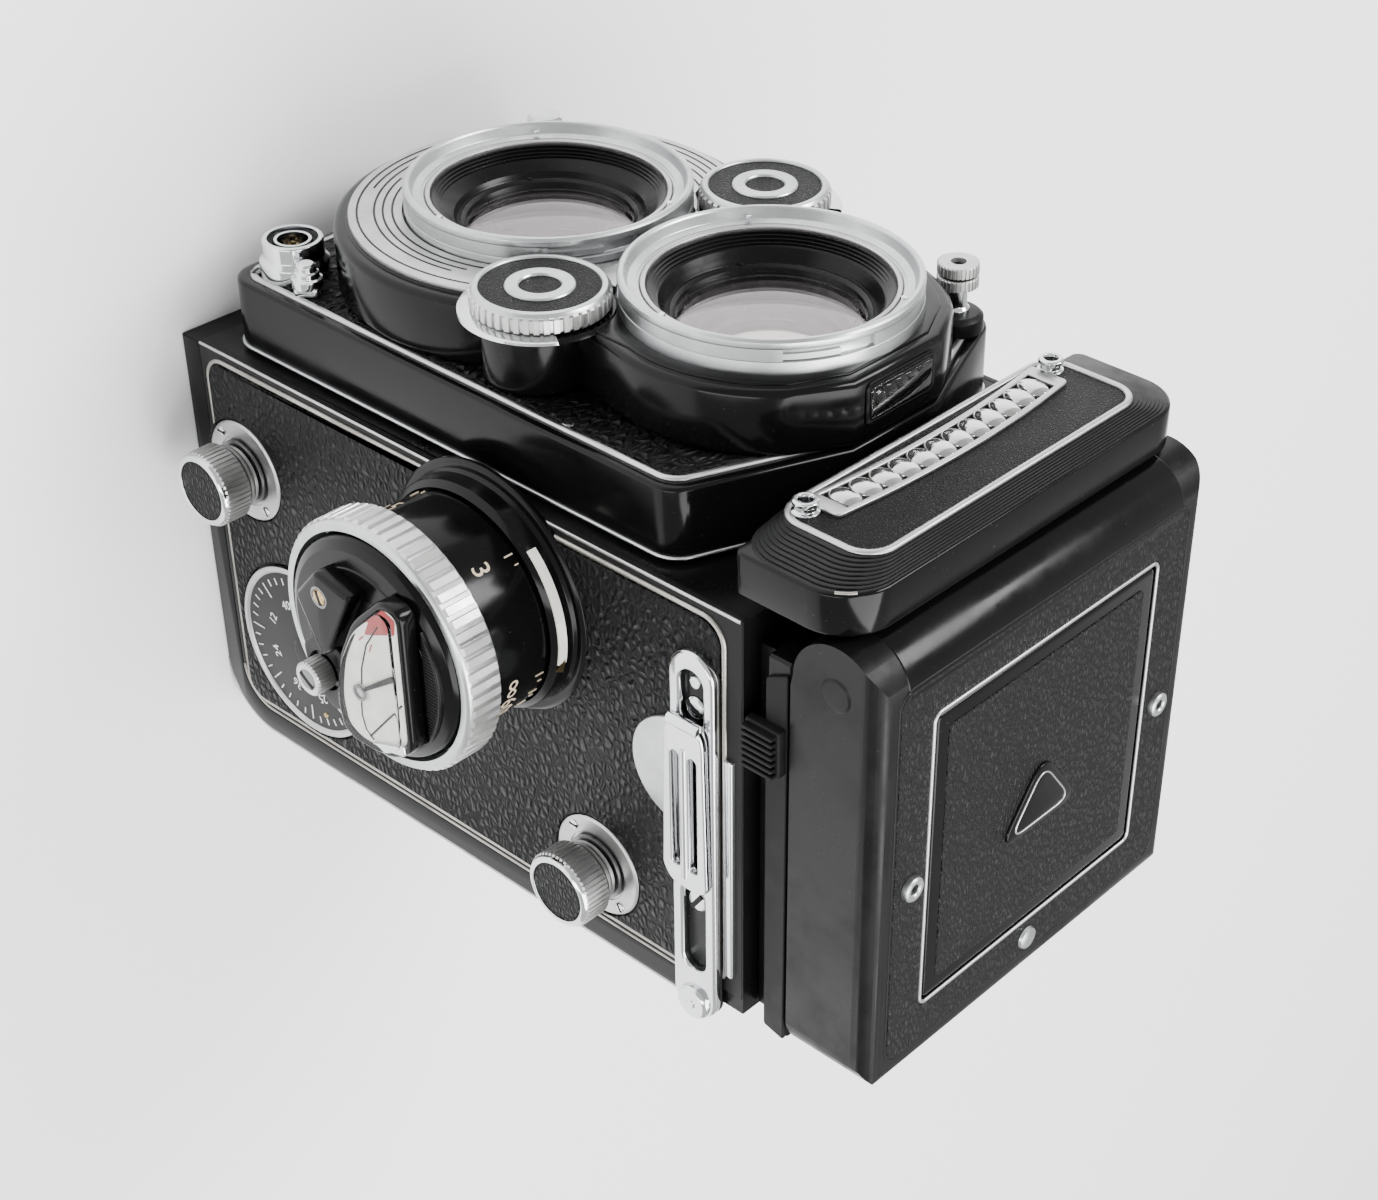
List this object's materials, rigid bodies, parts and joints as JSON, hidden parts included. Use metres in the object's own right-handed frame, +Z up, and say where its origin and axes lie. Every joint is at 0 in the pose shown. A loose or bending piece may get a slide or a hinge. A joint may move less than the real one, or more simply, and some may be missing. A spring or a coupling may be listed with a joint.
{
  "type": "twin lens reflex camera",
  "caption": "Boxy black roll-film camera with a viewing lens above a taking lens, a large ribbed focusing knob with an exposure meter, and a folding viewing hood.",
  "frame": {"origin": "middle of the whole camera's footprint, on the surface it stands on", "axes": "+Z up towards the viewing hood, -Y the way the lenses face, +X the side of the focusing knob"},
  "size_m": [0.1142, 0.102, 0.1444],
  "materials": {
    "body_black": "die-cast light alloy in matte black enamel",
    "gloss_black": "light alloy in glossy black enamel, worn to bare metal at the edges",
    "matte_black": "blackened, matte",
    "leather": "black grained leather",
    "satin_silver": "satin silver plate with turned and knurled faces",
    "bright_chrome": "polished chrome plate",
    "knurled_alloy": "bright matte turned alloy with square ribs",
    "lens_glass": "polished and coated",
    "mirror_glass": "silvered"
  },
  "bodies": {
    "camera_body": {"body_casting": "body_black", "knob_side_leather": "leather", "crank_side_leather": "leather", "reflex_mirror": "mirror_glass", "focusing_screen": "lens_glass", "light_shield_box": "body_black", "focus_index_ring": "gloss_black", "meter_knob_housing": "gloss_black", "meter_window": "lens_glass", "knob_side_strap_rail": "bright_chrome", "crank_side_strap_rail": "bright_chrome", "meter_housing": "gloss_black", "meter_cell_lens_strip": "lens_glass", "hood_base_frame": "gloss_black", "hood_hinge_pin": "satin_silver", "tripod_socket": "satin_silver"},
    "front_standard": {"front_board": "gloss_black", "lens_standard": "satin_silver", "lens_face_plate": "satin_silver", "taking_bayonet_ring": "satin_silver", "viewing_bayonet_ring": "satin_silver", "taking_lens_barrel": "gloss_black", "viewing_lens_barrel": "gloss_black", "taking_front_glass": "lens_glass", "viewing_front_glass": "lens_glass", "shutter_block": "matte_black", "sync_socket": "bright_chrome"},
    "aperture_wheel": {"aperture_wheel": "satin_silver"},
    "shutter_speed_wheel": {"shutter_speed_wheel": "satin_silver"},
    "release_button": {"release_button": "bright_chrome"},
    "self_timer_lever": {"self_timer_lever": "bright_chrome"},
    "socket_lock_lever": {"socket_lock_lever": "bright_chrome"},
    "focus_ring": {"focus_scale_drum": "gloss_black", "focus_knurled_ring": "knurled_alloy"},
    "meter_needle": {"meter_needle": "matte_black"},
    "film_speed_wheel": {"film_speed_wheel": "satin_silver"},
    "film_reminder_dial": {"film_reminder_dial": "matte_black"},
    "lower_spool_pin": {"lower_spool_pin": "bright_chrome"},
    "lower_spool_knob": {"lower_spool_knob": "satin_silver"},
    "upper_spool_pin": {"upper_spool_pin": "bright_chrome"},
    "upper_spool_knob": {"upper_spool_knob": "satin_silver"},
    "takeup_spool": {"takeup_spool": "matte_black"},
    "lower_film_roller": {"lower_film_roller": "satin_silver"},
    "crank_hub": {"crank_hub": "satin_silver"},
    "crank_arm": {"crank_arm": "satin_silver"},
    "crank_handle": {"crank_handle": "satin_silver"},
    "hood_lid": {"hood_lid": "gloss_black", "sports_finder_panel": "leather"},
    "knob_side_hood_flap": {"knob_side_hood_flap": "matte_black"},
    "crank_side_hood_flap": {"crank_side_hood_flap": "matte_black"},
    "rear_hood_flap": {"rear_hood_flap": "matte_black"},
    "magnifier": {"magnifier_frame": "gloss_black", "magnifier_lens": "lens_glass"},
    "knob_side_hood_catch": {"knob_side_hood_catch": "matte_black"},
    "crank_side_hood_catch": {"crank_side_hood_catch": "matte_black"},
    "knob_side_strap_clip": {"knob_side_strap_clip": "bright_chrome"},
    "crank_side_strap_clip": {"crank_side_strap_clip": "bright_chrome"},
    "back_door": {"back_door": "gloss_black"},
    "pressure_plate": {"pressure_plate": "matte_black"}
  },
  "joints": [
    {"name": "front_focus_slide", "type": "slide", "parent": "camera_body", "child": "front_standard", "axis": [0, -1, 0], "range_m": [0, 0.007]},
    {"name": "focus_ring_turn", "type": "hinge", "parent": "camera_body", "child": "focus_ring", "pos_m": [0.04085, -0.00695, 0.0713], "axis": [1, 0, 0], "range_deg": [0, 190]},
    {"name": "aperture_wheel_turn", "type": "hinge", "parent": "front_standard", "child": "aperture_wheel", "pos_m": [0.01445, -0.04495, 0.0687], "axis": [0, -1, 0], "range_deg": [-110, 110]},
    {"name": "shutter_speed_wheel_turn", "type": "hinge", "parent": "front_standard", "child": "shutter_speed_wheel", "pos_m": [-0.03275, -0.04495, 0.0687], "axis": [0, -1, 0], "range_deg": [-110, 110]},
    {"name": "release_press", "type": "slide", "parent": "front_standard", "child": "release_button", "axis": [0, 1, 0], "range_m": [0, 0.0022], "stiffness_N_per_m": 120},
    {"name": "self_timer_turn", "type": "hinge", "parent": "front_standard", "child": "self_timer_lever", "pos_m": [-0.03755, -0.04095, 0.103], "axis": [0, -1, 0], "range_deg": [0, 60]},
    {"name": "socket_lock_turn", "type": "hinge", "parent": "front_standard", "child": "socket_lock_lever", "pos_m": [0.02145, -0.03695, 0.0244], "axis": [0, -1, 0], "range_deg": [0, 45]},
    {"name": "meter_needle_swing", "type": "hinge", "parent": "camera_body", "child": "meter_needle", "pos_m": [0.05245, -0.00265, 0.0731], "axis": [1, 0, 0], "range_deg": [-14, 30], "stiffness_Nm_per_rad": 0.0005},
    {"name": "film_speed_wheel_turn", "type": "hinge", "parent": "camera_body", "child": "film_speed_wheel", "pos_m": [0.05485, 0.00045, 0.0617], "axis": [1, 0, 0], "range_deg": [-150, 150]},
    {"name": "film_reminder_dial_turn", "type": "hinge", "parent": "camera_body", "child": "film_reminder_dial", "pos_m": [0.02985, 0.02725, 0.024], "axis": [1, 0, 0], "continuous": true},
    {"name": "lower_spool_pin_pull", "type": "slide", "parent": "camera_body", "child": "lower_spool_pin", "axis": [1, 0, 0], "range_m": [0, 0.008]},
    {"name": "lower_spool_knob_turn", "type": "hinge", "parent": "lower_spool_pin", "child": "lower_spool_knob", "pos_m": [0.03385, -0.00315, 0.0136], "axis": [1, 0, 0], "continuous": true},
    {"name": "upper_spool_pin_pull", "type": "slide", "parent": "camera_body", "child": "upper_spool_pin", "axis": [1, 0, 0], "range_m": [0, 0.008]},
    {"name": "upper_spool_knob_turn", "type": "hinge", "parent": "upper_spool_pin", "child": "upper_spool_knob", "pos_m": [0.03385, 0.03455, 0.0918], "axis": [1, 0, 0], "continuous": true},
    {"name": "takeup_spool_turn", "type": "hinge", "parent": "camera_body", "child": "takeup_spool", "pos_m": [-0.00915, 0.03455, 0.0918], "axis": [1, 0, 0], "continuous": true},
    {"name": "lower_film_roller_turn", "type": "hinge", "parent": "camera_body", "child": "lower_film_roller", "pos_m": [-0.00915, 0.04005, 0.0132], "axis": [1, 0, 0], "continuous": true},
    {"name": "crank_turn", "type": "hinge", "parent": "camera_body", "child": "crank_hub", "pos_m": [-0.04915, 0.00105, 0.074], "axis": [-1, 0, 0], "continuous": true},
    {"name": "crank_fold", "type": "hinge", "parent": "crank_hub", "child": "crank_arm", "pos_m": [-0.05055, 0.00105, 0.074], "axis": [0, 1, 0], "range_deg": [0, 180]},
    {"name": "crank_handle_turn", "type": "hinge", "parent": "crank_arm", "child": "crank_handle", "pos_m": [-0.05415, 0.00105, 0.0464], "axis": [-1, 0, 0], "continuous": true},
    {"name": "hood_lid_hinge", "type": "hinge", "parent": "camera_body", "child": "hood_lid", "pos_m": [-0.00915, -0.01845, 0.1369], "axis": [1, 0, 0], "range_deg": [0, 100]},
    {"name": "knob_side_flap_hinge", "type": "hinge", "parent": "camera_body", "child": "knob_side_hood_flap", "pos_m": [0.02485, 0.01705, 0.13], "axis": [0, 1, 0], "range_deg": [0, 90]},
    {"name": "crank_side_flap_hinge", "type": "hinge", "parent": "camera_body", "child": "crank_side_hood_flap", "pos_m": [-0.04315, 0.01705, 0.13], "axis": [0, -1, 0], "range_deg": [0, 90]},
    {"name": "rear_flap_hinge", "type": "hinge", "parent": "camera_body", "child": "rear_hood_flap", "pos_m": [-0.00915, 0.04765, 0.132], "axis": [-1, 0, 0], "range_deg": [0, 90]},
    {"name": "magnifier_hinge", "type": "hinge", "parent": "hood_lid", "child": "magnifier", "pos_m": [-0.00915, 0.00705, 0.1387], "axis": [-1, 0, 0], "range_deg": [0, 90]},
    {"name": "knob_side_hood_catch_slide", "type": "slide", "parent": "camera_body", "child": "knob_side_hood_catch", "axis": [0, 1, 0], "range_m": [0, 0.003], "stiffness_N_per_m": 150},
    {"name": "knob_side_strap_clip_hinge", "type": "hinge", "parent": "camera_body", "child": "knob_side_strap_clip", "pos_m": [0.03225, -0.00435, 0.1133], "axis": [0, 0, -1], "range_deg": [0, 60]},
    {"name": "crank_side_hood_catch_slide", "type": "slide", "parent": "camera_body", "child": "crank_side_hood_catch", "axis": [0, 1, 0], "range_m": [0, 0.003], "stiffness_N_per_m": 150},
    {"name": "crank_side_strap_clip_hinge", "type": "hinge", "parent": "camera_body", "child": "crank_side_strap_clip", "pos_m": [-0.05055, -0.00435, 0.1133], "axis": [0, 0, 1], "range_deg": [0, 60]},
    {"name": "back_door_hinge", "type": "hinge", "parent": "camera_body", "child": "back_door", "pos_m": [-0.00915, 0.04785, 0.1133], "axis": [1, 0, 0], "range_deg": [0, 105]},
    {"name": "pressure_plate_slide", "type": "slide", "parent": "back_door", "child": "pressure_plate", "axis": [0, 1, 0], "range_m": [0, 0.0015], "stiffness_N_per_m": 300}
  ],
  "couplings": [
    {"joint": "focus_ring_turn", "follows": "front_focus_slide", "rad_per_m": 473.7},
    {"joint": "knob_side_flap_hinge", "follows": "hood_lid_hinge", "ratio": 0.9},
    {"joint": "crank_side_flap_hinge", "follows": "hood_lid_hinge", "ratio": 0.9},
    {"joint": "rear_flap_hinge", "follows": "hood_lid_hinge", "ratio": 0.9},
    {"joint": "magnifier_hinge", "follows": "hood_lid_hinge", "ratio": 0.9}
  ]
}
